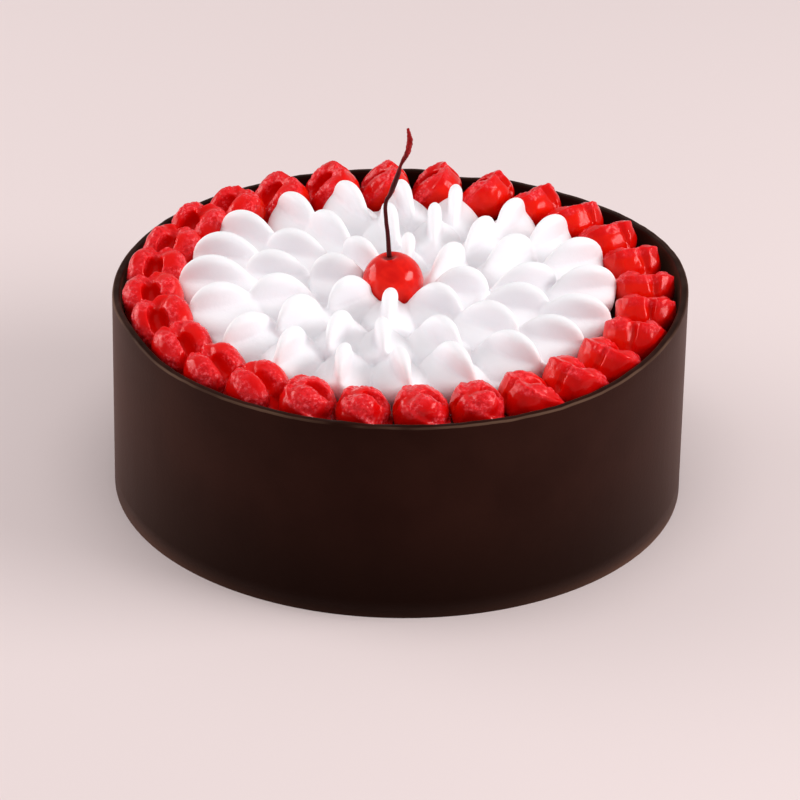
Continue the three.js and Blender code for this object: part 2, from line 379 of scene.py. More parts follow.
bpy.ops.object.select_all(action="DESELECT")
bpy.ops.mesh.primitive_plane_add(size=1, rotation=(math.pi / 2, 0, 0))
collar = named("collar")
collar.scale = (COLLAR_T, COLLAR_H, 1)
collar.location = (CAKE_R - COLLAR_T / 2, 0, COLLAR_H / 2)
settle(collar)
with editing(collar, "EDGE"):
    pick(collar, lambda co: co.z > COLLAR_H / 2)
    bpy.ops.mesh.bevel(offset=RIM_ROUND, segments=RIM_SEGMENTS, affect="VERTICES")
    for side in (collar_high.x - COLLAR_T, collar_high.x):
        bpy.ops.mesh.select_mode(type="EDGE")
        pick(collar, lambda co: abs(co.x - side) < 0.1 * MM and co.z < COLLAR_H - RIM_ROUND / 2)
        bpy.ops.mesh.subdivide(number_cuts=WALL_ROWS)
    bpy.ops.mesh.select_all(action="SELECT")
    bpy.ops.mesh.spin(steps=COLLAR_COLUMNS, angle=2 * math.pi - SEAM_GAP / CAKE_R,
                      center=(0, 0, 0), axis=(0, 0, 1))
    bpy.ops.mesh.select_all(action="SELECT")
    bpy.ops.mesh.normals_make_consistent(inside=False)
collar.rotation_euler.z = math.radians(SEAM_AZ) + SEAM_GAP / CAKE_R / 2
settle(collar)
print("collar points:", len(collar.data.vertices))

# %% [markdown]
# The rim isn't level: it climbs on one side, lifts a little on the other, and one end of the
# strip sags at the joint. A weight on each point says how far the change reaches, full at
# the rim and nothing at the foot, and a Displace modifier lifts the points by it.

# %% Collar: let the rim wander
RIM_SWELLS = ((2, 62, 4.6 * MM), (200, 20, 2.0 * MM))
SEAM_SAG = 2.3 * MM
SEAM_SAG_REACH = 20

places = points(collar)
azimuths = np.degrees(np.arctan2(places[:, 1], places[:, 0])) % 360
up_share = places[:, 2] / COLLAR_H
swell = [sum(rise * hump(a, at, reach) for at, reach, rise in RIM_SWELLS) for a in azimuths]
sag = [SEAM_SAG * hump(a, SEAM_AZ, SEAM_SAG_REACH) if 0 < a < SEAM_AZ else 0 for a in azimuths]
highest = max(swell)
rise_group = weigh(collar, "rise", np.array(swell) / highest * up_share)
sag_group = weigh(collar, "sag", np.array(sag) / SEAM_SAG * up_share)
for strength, group in ((highest, rise_group), (-SEAM_SAG, sag_group)):
    modify(collar, "DISPLACE", direction="Z", mid_level=0, strength=strength, vertex_group=group)

# %% [markdown]
# Poured chocolate is never quite even: the rim has tiny waves and nicks where the strip was
# trimmed. A second, much smaller displacement with a cloud texture does that, on the rim only.
# Before it, the points of the rim's outer edge and of its flat top are marked for the finish,
# which paints a highlight on the edge and shade on the top: they are found by how high up the
# strip they are and how far out.

# %% Collar: small waves along the rim
RIM_WAVE = 0.7 * MM
RIM_WAVE_SIZE = 7 * MM
WAVES_FROM = 0.93
WAVES_OVER = 0.07
EDGE_FROM = 0.989
EDGE_TO = 0.9985
TOP_FROM = 0.995

near_rim = np.clip((up_share - WAVES_FROM) / WAVES_OVER, 0, 1) ** 2
rim_group = weigh(collar, "rim", near_rim)
reach = np.linalg.norm(places[:, :2], axis=1)
# The outer edge is marked for a painted highlight.
edge = (up_share > EDGE_FROM) & (up_share < EDGE_TO) & (reach > CAKE_R - RIM_ROUND * 0.8)
# The flat top is marked for painted shade.
top = (up_share > TOP_FROM) & (reach < CAKE_R - RIM_ROUND * 0.9)
for name, marked in (("rim_edge_highlight", edge), ("rim_top_shade", top)):
    marks = collar.data.attributes.new(name, "FLOAT", "POINT").data
    marks.foreach_set("value", marked.astype(float))
    print(name, "has", int(marked.sum()), "points")
modify(collar, "DISPLACE", direction="Z", mid_level=0.5, strength=RIM_WAVE,
       vertex_group=rim_group, texture=clouds("rim waves", RIM_WAVE_SIZE, 2))
dress(collar, chocolate_finish(), "chocolate", "chocolate_collar")

# %% [markdown]
# ## Cake
# Between the fruit and the collar a little of the dark sponge shows from above. Its top is
# crumbly: pores and crumbs a millimetre or so across. One noise gives the crumbs their
# colour and roughness, and it is added to a Voronoi pattern, which has round pores, for the
# bump.

# %% Sponge finish
SPONGE_PORE = (0.004, 0.0013, 0.001)
SPONGE_CRUMB = (0.016, 0.0062, 0.0042)
SPONGE_MOIST = (0.007, 0.002, 0.0015)


def sponge_finish():
    finish = Finish("chocolate sponge")
    crumbs = finish.noise(700, 5, 0.7)
    patches = finish.noise(90, 2)
    pores = finish.add("TexVoronoi", {}, {"Vector": finish.place(), "Scale": 600}, "Distance")
    colour = finish.blend(finish.band(crumbs, 0.35, 0.7), SPONGE_PORE, SPONGE_CRUMB)
    colour = finish.blend(patches * 0.5, colour, SPONGE_MOIST)
    normal = finish.bump(crumbs + 0.5 * pores, 0.5 * MM)
    return finish.surface({"Base Color": colour, "Roughness": 0.75 + 0.2 * crumbs,
                           "Normal": normal, "Specular IOR Level": 0.3})


# %% [markdown]
# The body is a cylinder whose top is inset again and again, which gives rings of small faces,
# and a cloud texture pushes them down by up to a millimetre. A grid would give more even
# faces, but it wouldn't meet the round edge. The side and the foot are hidden, so they stay
# plain.

# %% Cake body
body_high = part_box("cake_body")[1]
CAKE_TOP = body_high.z
BODY_COLUMNS = 540
BODY_EDGE = 1.5 * MM
TOP_RINGS = 30
TOP_RING = 1.1 * MM
CRUMB_DEPTH = 0.9 * MM
CRUMB_SIZE = 1.6 * MM

bpy.ops.object.select_all(action="DESELECT")
bpy.ops.mesh.primitive_cylinder_add(vertices=BODY_COLUMNS, radius=body_high.x, depth=CAKE_TOP,
                                    location=(0, 0, CAKE_TOP / 2))
sponge = named("sponge")
settle(sponge)
with editing(sponge, "FACE"):
    pick(sponge, lambda co: co.z > CAKE_TOP / 2)
    bpy.ops.mesh.bevel(offset=BODY_EDGE, segments=3, affect="EDGES")
    pick(sponge, lambda co: co.z > CAKE_TOP - 0.001 * MM)
    for ring in range(TOP_RINGS):
        bpy.ops.mesh.inset(thickness=TOP_RING)
places = points(sponge)
crumbly = weigh(sponge, "top", (places[:, 2] > CAKE_TOP - BODY_EDGE * 0.9).astype(float))
modify(sponge, "DISPLACE", direction="Z", mid_level=1, strength=CRUMB_DEPTH,
       vertex_group=crumbly, texture=clouds("crumbs", CRUMB_SIZE, 3))
dress(sponge, sponge_finish(), "cake", "cake_body")

# %% [markdown]
# ## Piped cream
# The cream is whipped and stiff, and it was piped as petals: each is a round body whose top
# was drawn off into a narrow finger, with a soft keel that turns down its outer end. A sphere
# pulled about by hand would lose that keel. Instead every point of a sphere is sent to its
# place by a rule, which reads its level, from foot to tip, and its direction round the petal.

# %% Cream: one petal
PETAL_RINGS = (
    {"count": 20, "tip_at": 65.4, "start": 90, "length": 27.6, "width": 21.5, "height": 22.8},
    {"count": 15, "tip_at": 45.0, "start": 98, "length": 26.0, "width": 21.0, "height": 23.2},
    {"count": 8, "tip_at": 22.8, "start": 82, "length": 23.0, "width": 19.0, "height": 23.4},
)
PETAL_TIP = 5.0
PETAL_TURN = 10
FINGER_W = 5.2
SHOULDER_FROM = 0.28
SHOULDER_TO = 0.62
FINGER_CAP = 0.86
CREST_CAP = 0.30
FOOT_TUCK = 0.14
KEEL = 0.20
KEEL_TURN = math.radians(55)
KEEL_SHARPNESS = 9
PETAL_FACES = 48


def cap(start, level, end=1):
    """The quarter circle that closes a form between two levels."""
    return math.sqrt(1 - min(max((level - start) / (end - start), 0), 1) ** 2)


def petal_point(ring, direction, level):
    """A point of a petal's skin, in millimetres: x outwards, y round the ring, z up."""
    foot = min(1, 2 * math.sqrt(max(0, level * (1 - level))) + level) ** 0.5
    foot *= 1 - FOOT_TUCK * (1 - smooth_step(0, 0.35, level))
    shoulders = ring["width"] * cap(SHOULDER_FROM, level, SHOULDER_TO)
    width = max(shoulders, FINGER_W) * cap(FINGER_CAP, level)
    length = ring["length"] * cap(CREST_CAP, level)
    off_keel = direction - KEEL_TURN * (1 - level)
    keel = 1 + KEEL * (1 - level) * max(0, math.cos(off_keel)) ** KEEL_SHARPNESS
    across = Vector((math.cos(direction) * length / 2, math.sin(direction) * width / 2))
    across = across * foot * keel
    return Vector((across.x + PETAL_TIP * smooth_step(0.1, 1, level), across.y,
                   ring["height"] * level))


def pipe_petal(name, ring):
    bpy.ops.object.select_all(action="DESELECT")
    bpy.ops.mesh.primitive_uv_sphere_add(segments=PETAL_FACES, ring_count=PETAL_FACES, radius=1)
    petal = named(name)
    for point in petal.data.vertices:
        direction = math.atan2(point.co.y, point.co.x)
        point.co = petal_point(ring, direction, (point.co.z + 1) / 2) * MM
    return petal


# %% [markdown]
# Three rings of petals stand on a low bed. Each ring's petal is modelled once, and its
# copies differ a little in length, width, height and lean, by the shared rule. All of them
# are turned the same way round, so that the keels run into a slow spiral.

# %% Cream: three rings on a bed
CREAM_X = -0.4 * MM
CREAM_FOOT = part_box("cream")[0].z
BED_R = 71 * MM
BED_SLOPE = 2 * MM
BED_H = 8 * MM
RING_NUMBERS = 40
PETAL_VARIES = (0.04, 0.06, 0.05)
STEP_VARIES = 0.1
SWIRL_VARIES = 6
LEAN_VARIES = 0.07

bpy.ops.object.select_all(action="DESELECT")
bpy.ops.mesh.primitive_cone_add(vertices=120, radius1=BED_R + BED_SLOPE, radius2=BED_R,
                                depth=BED_H, location=(CREAM_X, 0, CREAM_FOOT + BED_H / 2))
cream = named("cream_petals")
settle(cream)
petals = []
for ring_index, ring in enumerate(PETAL_RINGS):
    master = pipe_petal("petal", ring)
    for i in range(ring["count"]):
        piece = ring_index * RING_NUMBERS + i
        petal = copy_of(master, "petal")
        size = [1 + much * uneven(piece, axis) for axis, much in enumerate(PETAL_VARIES, 1)]
        step = i + STEP_VARIES * uneven(piece, 5)
        turn = math.radians(ring["start"] + 360 / ring["count"] * step)
        swirl = math.radians(PETAL_TURN + SWIRL_VARIES * uneven(piece, 6))
        petal.matrix_world = (
            Matrix.Translation((CREAM_X, 0, CREAM_FOOT))
            @ Matrix.Rotation(turn, 4, "Z")
            @ Matrix.Translation((ring["tip_at"] * MM, 0, 0))
            @ Matrix.Rotation(swirl, 4, "Z")
            @ Matrix.Rotation(LEAN_VARIES * uneven(piece, 4), 4, "X")
            @ Matrix.Diagonal((*size, 1))
            @ Matrix.Translation((-PETAL_TIP * MM, 0, 0))
        )
        petals.append(petal)
    bpy.data.objects.remove(master)
only(cream, *petals)
bpy.ops.object.join()
print("cream: bed and", len(petals), "petals,", triangles(cream), "triangles")

# %% [markdown]
# The petals were soft when they touched, so they run into each other with rounded creases.
# A voxel remesh melts all the shells into one skin, a little smoothing rounds the creases,
# and Decimate spends the triangles where the surface bends. The whole cherry was pressed
# into the middle, so a ball is taken away there first.

# %% Cream: melt the petals together
CREAM_VOXEL = 0.65 * MM
CREAM_TRIANGLES = 196_000
FRUIT = Vector((-2.6 * MM, 0, 76 * MM))
FRUIT_R = 10.7 * MM
SEAT_ROOM = 1.03

bpy.ops.object.select_all(action="DESELECT")
bpy.ops.mesh.primitive_uv_sphere_add(segments=48, ring_count=32, radius=FRUIT_R * SEAT_ROOM,
                                     location=FRUIT)
seat = named("seat")
modify(cream, "REMESH", mode="VOXEL", voxel_size=CREAM_VOXEL)
modify(cream, "BOOLEAN", operation="DIFFERENCE", object=seat, solver="EXACT")
bpy.data.objects.remove(seat)
modify(cream, "SMOOTH", factor=0.5, iterations=2)
modify(cream, "DECIMATE", ratio=min(1, CREAM_TRIANGLES / triangles(cream)))

# %% [markdown]
# Light goes into cream and comes out again a few millimetres away, which subsurface scattering
# does, and without it cream looks like plaster. Low down next to the cherry halves the cream is
# painted pink, a painted reflection of their red light. The pink is where two bands overlap:
# far enough from the middle, and low enough down.

# %% Cream finish
CREAM = (0.89, 0.865, 0.89)
CREAM_WHITER = (0.92, 0.895, 0.92)
CREAM_RED_BOUNCE = (0.92, 0.60, 0.62)
RED_BOUNCE_REACH = (62 * MM, 74 * MM)
RED_BOUNCE_LEVEL = (64 * MM, 76 * MM)


def cream_finish():
    finish = Finish("whipped cream")
    soft = finish.noise(60, 2)
    fine = finish.noise(500, 3, 0.6)
    reach = finish.length(finish.mapped(Location=(-CREAM_X, 0, 0), Scale=(1, 1, 0)))
    far_out = finish.band(reach, *RED_BOUNCE_REACH)
    # Painted reflection: pink where the cream meets the cherry halves.
    painted_red_bounce = far_out * (1 - finish.band(finish.height(), *RED_BOUNCE_LEVEL))
    colour = finish.blend(soft, CREAM, CREAM_WHITER)
    colour = finish.blend(painted_red_bounce * finish.band(soft, 0.3, 0.7) * 0.5, colour, CREAM_RED_BOUNCE)
    normal = finish.bump(fine, 0.08 * MM, finish.bump(soft, 0.6 * MM))
    return finish.surface({"Base Color": colour, "Roughness": 0.42 + 0.12 * soft,
                           "Normal": normal, "Specular IOR Level": 0.25,
                           "Subsurface Weight": 0.7, "Subsurface Radius": (1.0, 0.9, 0.9),
                           "Subsurface Scale": 4.5 * MM})


dress(cream, cream_finish(), "cream", "cream")

# %% [markdown]
# ## Pitted cherry halves
# Each half has a round back with smooth, glossy skin, and a cut side of wet flesh, which is
# grainy in patches, round the deeper red hollow of its stone. One even red would look like
# plastic, so three attributes on the points say how fleshy, how grainy and how deep each
# place is, and the finish blends its colours by them. The skin is painted darker towards the
# collar, as painted shade.
# Strands of a fine noise give pale grains and dark pits, and a coarser one keeps the grains
# to the wetter spots. The pale grains are partly the flesh's own paler cells and partly
# painted glints of light on the wet grain.

# %% Cherry finish
SKIN_IN = (0.84, 0.011, 0.002)
SKIN_SHADED = (0.60, 0.002, 0.001)
SKIN_MOTTLE = (0.66, 0.002, 0.002)
FLESH = (0.72, 0.004, 0.006)
FLESH_GRAINY = (0.84, 0.032, 0.043)
FLESH_PIT = (0.55, 0.001, 0.003)
FLESH_GRAIN_AND_GLINT = (0.95, 0.15, 0.18)
STONE_HOLLOW = (0.70, 0.001, 0.001)
SKIN_SHADE_REACH = (80 * MM, 96 * MM)


def cherry_finish():
    finish = Finish("cherry half")
    flesh = finish.mark("flesh")
    grainy = finish.mark("grainy")
    reach = finish.length(finish.mapped(Scale=(1, 1, 0)))
    mottle = finish.noise(150, 3)
    wet = finish.noise(260, 2)
    strands = finish.noise(850, 2, 0.6)
    # The pale grains are partly the flesh's paler cells and partly painted glints.
    grain = finish.band(strands, 0.53, 0.62) * finish.band(wet, 0.35, 0.55) * grainy
    pits = (1 - finish.band(strands, 0.38, 0.46)) * grainy
    # Painted shade: the skin is darker the nearer it is to the collar.
    colour = finish.blend(finish.band(reach, *SKIN_SHADE_REACH), SKIN_IN, SKIN_SHADED)
    layers = ((finish.band(mottle, 0.35, 0.7) * 0.5, SKIN_MOTTLE), (flesh * 0.6, FLESH),
              (grainy * 0.5, FLESH_GRAINY), (pits * 0.5, FLESH_PIT), (grain * 0.5, FLESH_GRAIN_AND_GLINT),
              (finish.mark("deep") * 0.6, STONE_HOLLOW))
    for share, layer in layers:
        colour = finish.blend(share, colour, layer)
    roughness = 0.11 + 0.12 * mottle + 0.10 * grainy
    relief = (strands * 0.3 + wet * 0.9) * grainy + 0.25 * mottle + 0.35 * wet
    return finish.surface({"Base Color": colour, "Roughness": roughness,
                           "Normal": finish.bump(relief, 0.30 * MM),
                           "Specular IOR Level": 0.30, "Specular Tint": (1.0, 0.4, 0.4),
                           "Subsurface Weight": 0.6, "Subsurface Radius": (1.0, 0.05, 0.04),
                           "Subsurface Scale": 4 * MM, "Coat Weight": 0.08,
                           "Coat Roughness": 0.10})


# %% [markdown]
# The halves round the ring are of three kinds. On the right and at the back they are crisp,
# with a far-out cut and a clear groove between two lobes. On the left they are plump. At the
# front they are domed: one big lobe with a small one behind it nearly shuts the hollow. A
# whole sphere cut in two would have a flat face, and real ones swell. So each kind starts as
# a sphere, squared a little, whose front is pressed flatter, and two balls are its lobes. A
# voxel remesh melts the three shells into one skin. In each pair of vectors below, the first
# is a lobe's half sizes and the second its place, in millimetres: x outwards, y out of the
# cut, z up.

# %% Cherry halves: three kinds
SQUARENESS = 2.7
HALF = Vector((10.5, 9.2, 10.2)) * MM
CUT_SWELL = 0.8 * MM
CRISP = {
    "cut_at": 2.4 * MM,
    "lobes": ((Vector((5.4, 4.8, 9.0)), Vector((-4.5, 0.5, 0.0))),
              (Vector((4.0, 4.3, 8.6)), Vector((6.0, 0.5, 0.2)))),
}
PLUMP = {
    "cut_at": 0.0,
    "lobes": ((Vector((5.5, 5.3, 8.4)), Vector((-4.8, 0.5, 0.4))),
              (Vector((4.7, 4.9, 8.0)), Vector((5.7, 0.5, 0.4)))),
}
DOME = {
    "cut_at": 0.4 * MM,
    "lobes": ((Vector((9.4, 5.2, 8.2)), Vector((-0.4, 0.5, 0.2))),
              (Vector((4.6, 4.6, 5.6)), Vector((5.0, 1.4, 2.6)))),
}
CHERRY_VOXEL = 0.42 * MM


def ball(name, size, at=(0, 0, 0), squareness=2):
    bpy.ops.object.select_all(action="DESELECT")
    bpy.ops.mesh.primitive_uv_sphere_add(segments=48, ring_count=32, radius=1)
    piece = named(name)
    for point in piece.data.vertices:
        point.co /= sum(abs(share) ** squareness for share in point.co) ** (1 / squareness)
    piece.scale = size
    piece.location = at
    settle(piece)
    return piece


def melt(name, *shells):
    """Joins overlapping shells into one skin."""
    only(*shells)
    bpy.ops.object.join()
    modify(shells[0], "REMESH", mode="VOXEL", voxel_size=CHERRY_VOXEL)
    shells[0].name = name
    return shells[0]


def shape_half(name, cut_at, lobes):
    back = ball("back", HALF, squareness=SQUARENESS)
    with editing(back):
        pick(back, lambda co: co.y > 0.01 * MM)
        bpy.ops.transform.resize(value=(1, CUT_SWELL / HALF.y, 1), center_override=(0, 0, 0))
        bpy.ops.transform.translate(value=(0, cut_at, 0))
    return melt(name, back, *(ball("lobe", size * MM, at * MM) for size, at in lobes))


crisp_half = shape_half("crisp half", **CRISP)
plump_half = shape_half("plump half", **PLUMP)
dome_half = shape_half("dome half", **DOME)
for kind in (crisp_half, plump_half, dome_half):
    print(kind.name, [round(side / MM, 1) for side in kind.dimensions])

# %% [markdown]
# One cutter holds all that was taken out of a half: the hollow of the stone, the V-shaped
# notch where the stalk came through the top edge, and a dimple behind it. The notch is a
# cylinder with only four sides, which is a bar that stands on its edge.

# %% Cherry halves: the cutter
HOLLOW = Vector((3.1, 4.8, 5.6)) * MM
HOLLOW_AT = Vector((1.2, 4.0, 0.8)) * MM
NOTCH = Vector((2.9, 10.0, 2.8)) * MM
NOTCH_AT = Vector((1.6, 0, 10.6)) * MM
NOTCH_FALL = math.radians(8)
STALK_DIMPLE = Vector((2.6, 3.0, 3.0)) * MM
STALK_DIMPLE_AT = Vector((1.6, -6.2, 11.0)) * MM

bpy.ops.object.select_all(action="DESELECT")
bpy.ops.mesh.primitive_cylinder_add(vertices=4, radius=1, depth=2, rotation=(math.pi / 2, 0, 0))
notch = named("notch")
settle(notch)
notch.scale = NOTCH
notch.location = NOTCH_AT
notch.rotation_euler.x = -NOTCH_FALL
settle(notch)
cutter_master = melt("cutter", ball("hollow", HOLLOW, HOLLOW_AT), notch,
                     ball("dimple", STALK_DIMPLE, STALK_DIMPLE_AT))
print("cutter:", triangles(cutter_master), "triangles")

# %% [markdown]
# No two cherries are alike, so each half is a copy of its kind that is cut on its own. The
# cutter is a little wider in the plump ones, and at the front it is narrower and farther
# out, because those pits are nearly shut. Its moves are in millimetres. A remesh after the
# cut makes the faces even again, and a little smoothing rounds the edges of the pit.

# %% Cherry halves: cut one
SHUT_AT = 280
SHUT_REACH = 70
SHUT_FORWARD = 2.4
SHUT_NARROWER = 0.45
PLUMP_WIDER = 0.1
PIT_WANDERS = 0.8
PIT_WIDTH_VARIES = 0.15
PIT_HEIGHT_VARIES = 0.05


def cut_pit(half, i, azimuth, plump):
    """Cuts the pit and the notch, and says where the middle of the pit is."""
    cutter = copy_of(cutter_master, "cutter")
    shut = hump(azimuth, SHUT_AT, SHUT_REACH)
    shift = Vector((PIT_WANDERS * uneven(i, 14), SHUT_FORWARD * shut, 0)) * MM
    width = 1 + PIT_WIDTH_VARIES * uneven(i, 18) + PLUMP_WIDER * plump - SHUT_NARROWER * shut
    cutter.location = shift
    cutter.scale = (width, 1, 1 + PIT_HEIGHT_VARIES * uneven(i, 19))
    settle(cutter)
    modify(half, "BOOLEAN", operation="DIFFERENCE", object=cutter, solver="EXACT")
    bpy.data.objects.remove(cutter)
    modify(half, "REMESH", mode="VOXEL", voxel_size=CHERRY_VOXEL)
    modify(half, "SMOOTH", factor=0.5, iterations=3)
    return HOLLOW_AT + shift


# %% [markdown]
# While the half still stands upright at the origin, plain rules on the place of each point
# tell what it is. It is deep if it is close to the pit's wall and not far out. It is fleshy
# from the cut outwards, and over a fleshy lip at the top. It is grainy where two waves
# across the flesh meet, which gives patches a few millimetres wide, and the patches differ
# from half to half.

# %% Cherry halves: mark the flesh
PIT_WALL = 1.16
PIT_WALL_FADE = 0.12
PIT_DEPTH_FADE = 2 * MM
FLESH_FROM = 1.2
PLUMP_FLESH_FROM = -0.5
LIP_FROM = 4.5
LIP_SLOPE = 0.45
LIP_TOP = 4
PATCH_X = 2.1 * MM
PATCH_Z = 2.4 * MM
GRAINY_MEAN = 0.6
PLUMP_GRAINIER = 0.1
DOME_GRAINIER = 0.25
GRAINY_SWING = 1.3


def mark_flesh(half, i, pit, plump, domed):
    """Writes the attributes of the finish, and gives the group of the grainy points."""
    place = points(half)
    inside = np.linalg.norm((place - np.array(pit)) / np.array(HOLLOW), axis=1)
    deep = np.clip((PIT_WALL - inside) / PIT_WALL_FADE, 0, 1)
    deep *= np.clip(2 - place[:, 1] / PIT_DEPTH_FADE, 0, 1)
    lip = LIP_SLOPE * np.clip(place[:, 2] / MM - LIP_FROM, 0, LIP_TOP)
    flesh_from = PLUMP_FLESH_FROM if plump else FLESH_FROM
    flesh = np.clip(place[:, 1] / MM - flesh_from + lip, 0, 1) * (1 - deep)
    patches = np.sin(place[:, 0] / PATCH_X + 3 * uneven(i, 22))
    patches *= np.sin(place[:, 2] / PATCH_Z + 3 * uneven(i, 23))
    grainy_mean = GRAINY_MEAN + PLUMP_GRAINIER * plump + DOME_GRAINIER * domed
    grainy = flesh * np.clip(grainy_mean + GRAINY_SWING * patches, 0, 1)
    for name, values in (("flesh", flesh), ("deep", deep), ("grainy", grainy)):
        half.data.attributes.new(name, "FLOAT", "POINT").data.foreach_set("value", values)
    return weigh(half, "grains", grainy)


# %% [markdown]
# Then the half is scaled, leant back so that its cut looks up and along the ring, turned to
# its place, and moved so that the middle of its box is the middle of its solid's box. From
# the front round to the right the halves are a little broader, so that they touch. Last, two
# textures push the surface: a broad, soft one for plumpness, and small cells, only where it
# is grainy, for the wet grain of the flesh.

# %% Cherry halves: stand one in its place
HALF_YAW = 9
HALF_LEAN = 5
FACE_TILT = 48
TILT_SWING = 8
TILT_LOW_AZ = 115
TILT_VARIES = 3
HALF_BREADTH = 1.08
FRONT_BREADTH = 1.15
HALF_HEIGHT = 1.04
DOME_LOWER = 0.08
GROWTH_VARIES = (0.02, 0.04, 0.03)
PLUMPNESS = 0.7 * MM
PLUMP_SIZE = 5 * MM
GRAIN_DEPTH = 0.7 * MM
GRAIN_SIZE = 1.8 * MM
DOME_FROM = 238


def stand_half(half, i, azimuth, domed, node):
    swing = TILT_SWING * math.cos(math.radians(azimuth - TILT_LOW_AZ))
    tilt = FACE_TILT - swing + TILT_VARIES * uneven(i, 16)
    breadth = FRONT_BREADTH if azimuth > DOME_FROM else HALF_BREADTH
    growth = (1 + GROWTH_VARIES[0] * uneven(i, 11), breadth + GROWTH_VARIES[1] * uneven(i, 13),
              HALF_HEIGHT - DOME_LOWER * domed + GROWTH_VARIES[2] * uneven(i, 12))
    half.matrix_world = (
        Matrix.Rotation(math.radians(azimuth), 4, "Z")
        @ Matrix.Rotation(math.radians(HALF_YAW * uneven(i, 21)), 4, "Z")
        @ Matrix.Rotation(math.radians(HALF_LEAN * uneven(i, 17)), 4, "Y")
        @ Matrix.Rotation(math.radians(tilt), 4, "X")
        @ Matrix.Diagonal((*growth, 1))
    )
    settle(half)
    place = points(half)
    low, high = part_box(node)
    middle = (Vector(place.max(0)) + Vector(place.min(0))) / 2
    half.location = (low + high) / 2 - middle
    settle(half)


def push_relief(half, grains):
    modify(half, "DISPLACE", mid_level=0.5, strength=PLUMPNESS,
           texture=clouds("plump", PLUMP_SIZE, 1))
    modify(half, "DISPLACE", mid_level=0.5, strength=-GRAIN_DEPTH, vertex_group=grains,
           texture=clouds("grains", GRAIN_SIZE, 0, "VORONOI_F1"))


# %% [markdown]
# The ring is counted from the right, round by the back, the left and the front. A half's
# direction from the middle decides its kind.

# %% Cherry halves: the ring
CHERRIES = 28
CHERRY_START = 5.8
SPACING_VARIES = 0.012
PLUMP_FROM = 125
CRISP_FROM = 295

cherry = cherry_finish()
for i in range(CHERRIES):
    node = f"cherry_half_{i + 1:02d}"
    azimuth = CHERRY_START + 360 / CHERRIES * (i + SPACING_VARIES * uneven(i, 15))
    plump = PLUMP_FROM < azimuth < CRISP_FROM
    domed = DOME_FROM < azimuth < CRISP_FROM
    kind = dome_half if domed else plump_half if plump else crisp_half
    half = copy_of(kind, f"cherry_{i + 1:02d}")
    pit = cut_pit(half, i, azimuth, plump)
    grains = mark_flesh(half, i, pit, plump, domed)
    stand_half(half, i, azimuth, domed, node)
    push_relief(half, grains)
    dress(half, cherry, "cherry_half", node)
for master in (crisp_half, plump_half, dome_half, cutter_master):
    bpy.data.objects.remove(master)

# %% [markdown]
# ## Whole cherry
# The cherry on top is preserved in syrup: bright, tight and very glossy. A thin coat over the
# skin gives the syrup its sharp highlights. The dimple where the stem goes in is painted
# almost black, as painted shade: a soft ball round the foot of the stem.

# %% Whole cherry finish
SYRUP_RED = (0.68, 0.003, 0.001)
SYRUP_BRIGHT = (0.90, 0.014, 0.005)
DIMPLE_SHADE = (0.12, 0.002, 0.001)
STEM_FOOT = Vector((-4.1, 0, 84.6)) * MM


def fruit_finish():
    finish = Finish("syrup cherry")
    mottle = finish.noise(120, 3)
    from_stem = finish.length(finish.mapped(Location=-STEM_FOOT))
    # Painted shade: the dimple round the foot of the stem is painted almost black.
    dark = 1 - finish.band(from_stem, 0.8 * MM, 3.4 * MM)
    colour = finish.blend(finish.band(mottle, 0.35, 0.65), SYRUP_RED, SYRUP_BRIGHT)
    colour = finish.blend(dark * 0.85, colour, DIMPLE_SHADE)
    return finish.surface({"Base Color": colour, "Roughness": 0.10 + 0.08 * mottle,
                           "Normal": finish.bump(mottle, 0.45 * MM),
                           "Specular IOR Level": 0.3, "Specular Tint": (1.0, 0.35, 0.3),
                           "Subsurface Weight": 0.2, "Subsurface Radius": (1.0, 0.1, 0.05),
                           "Subsurface Scale": 4 * MM, "Coat Weight": 0.25,
                           "Coat Roughness": 0.05})


# %% [markdown]
# A sphere could be dented by hand, but then the dimple's depth would be a guess. Instead half
# of the fruit's outline is drawn as a row of points, lowered by a rule where it comes near the
# middle, and Spin turns it once round, so the dimple is part of the same smooth skin.

# %% Whole cherry
FRUIT_TILT = -8.3
DIMPLE = 1.9 * MM
FRUIT_STEPS = 48
FRUIT_COLUMNS = 96

bpy.ops.object.select_all(action="DESELECT")
bpy.ops.mesh.primitive_circle_add(vertices=2 * FRUIT_STEPS, radius=FRUIT_R, fill_type="NOTHING",
                                  rotation=(math.pi / 2, 0, 0))
fruit = named("whole_cherry")
settle(fruit)
with editing(fruit):
    pick(fruit, lambda co: co.x < -0.01 * MM)
    bpy.ops.mesh.delete(type="VERT")
for point in fruit.data.vertices:
    if point.co.z > 0:
        point.co.z -= DIMPLE * smooth_step(0.5, 0, point.co.x / FRUIT_R) ** 2
with editing(fruit):
    bpy.ops.mesh.select_all(action="SELECT")
    bpy.ops.mesh.spin(steps=FRUIT_COLUMNS, angle=2 * math.pi, center=(0, 0, 0), axis=(0, 0, 1))
    bpy.ops.mesh.select_all(action="SELECT")
    bpy.ops.mesh.remove_doubles(threshold=0.01 * MM)
    bpy.ops.mesh.normals_make_consistent(inside=False)
fruit.rotation_euler.y = math.radians(FRUIT_TILT)
fruit.location = FRUIT
settle(fruit)
dress(fruit, fruit_finish(), "whole_cherry", "top_cherry")

# %% [markdown]
# ## Stem
# The stem is thin, dark and wiry, with a knot half way, wrapped by a dull sheath, and a
# thicker, redder tip where it was torn off the twig. A curve with a round bevel follows its
# bends, and the radius of each point sets the thickness there. The tip's last point is thin,
# so the stem runs out into a point. A cylinder could be bent to it, but not made thicker and
# thinner so simply. A cloud texture adds knobs near the torn end.

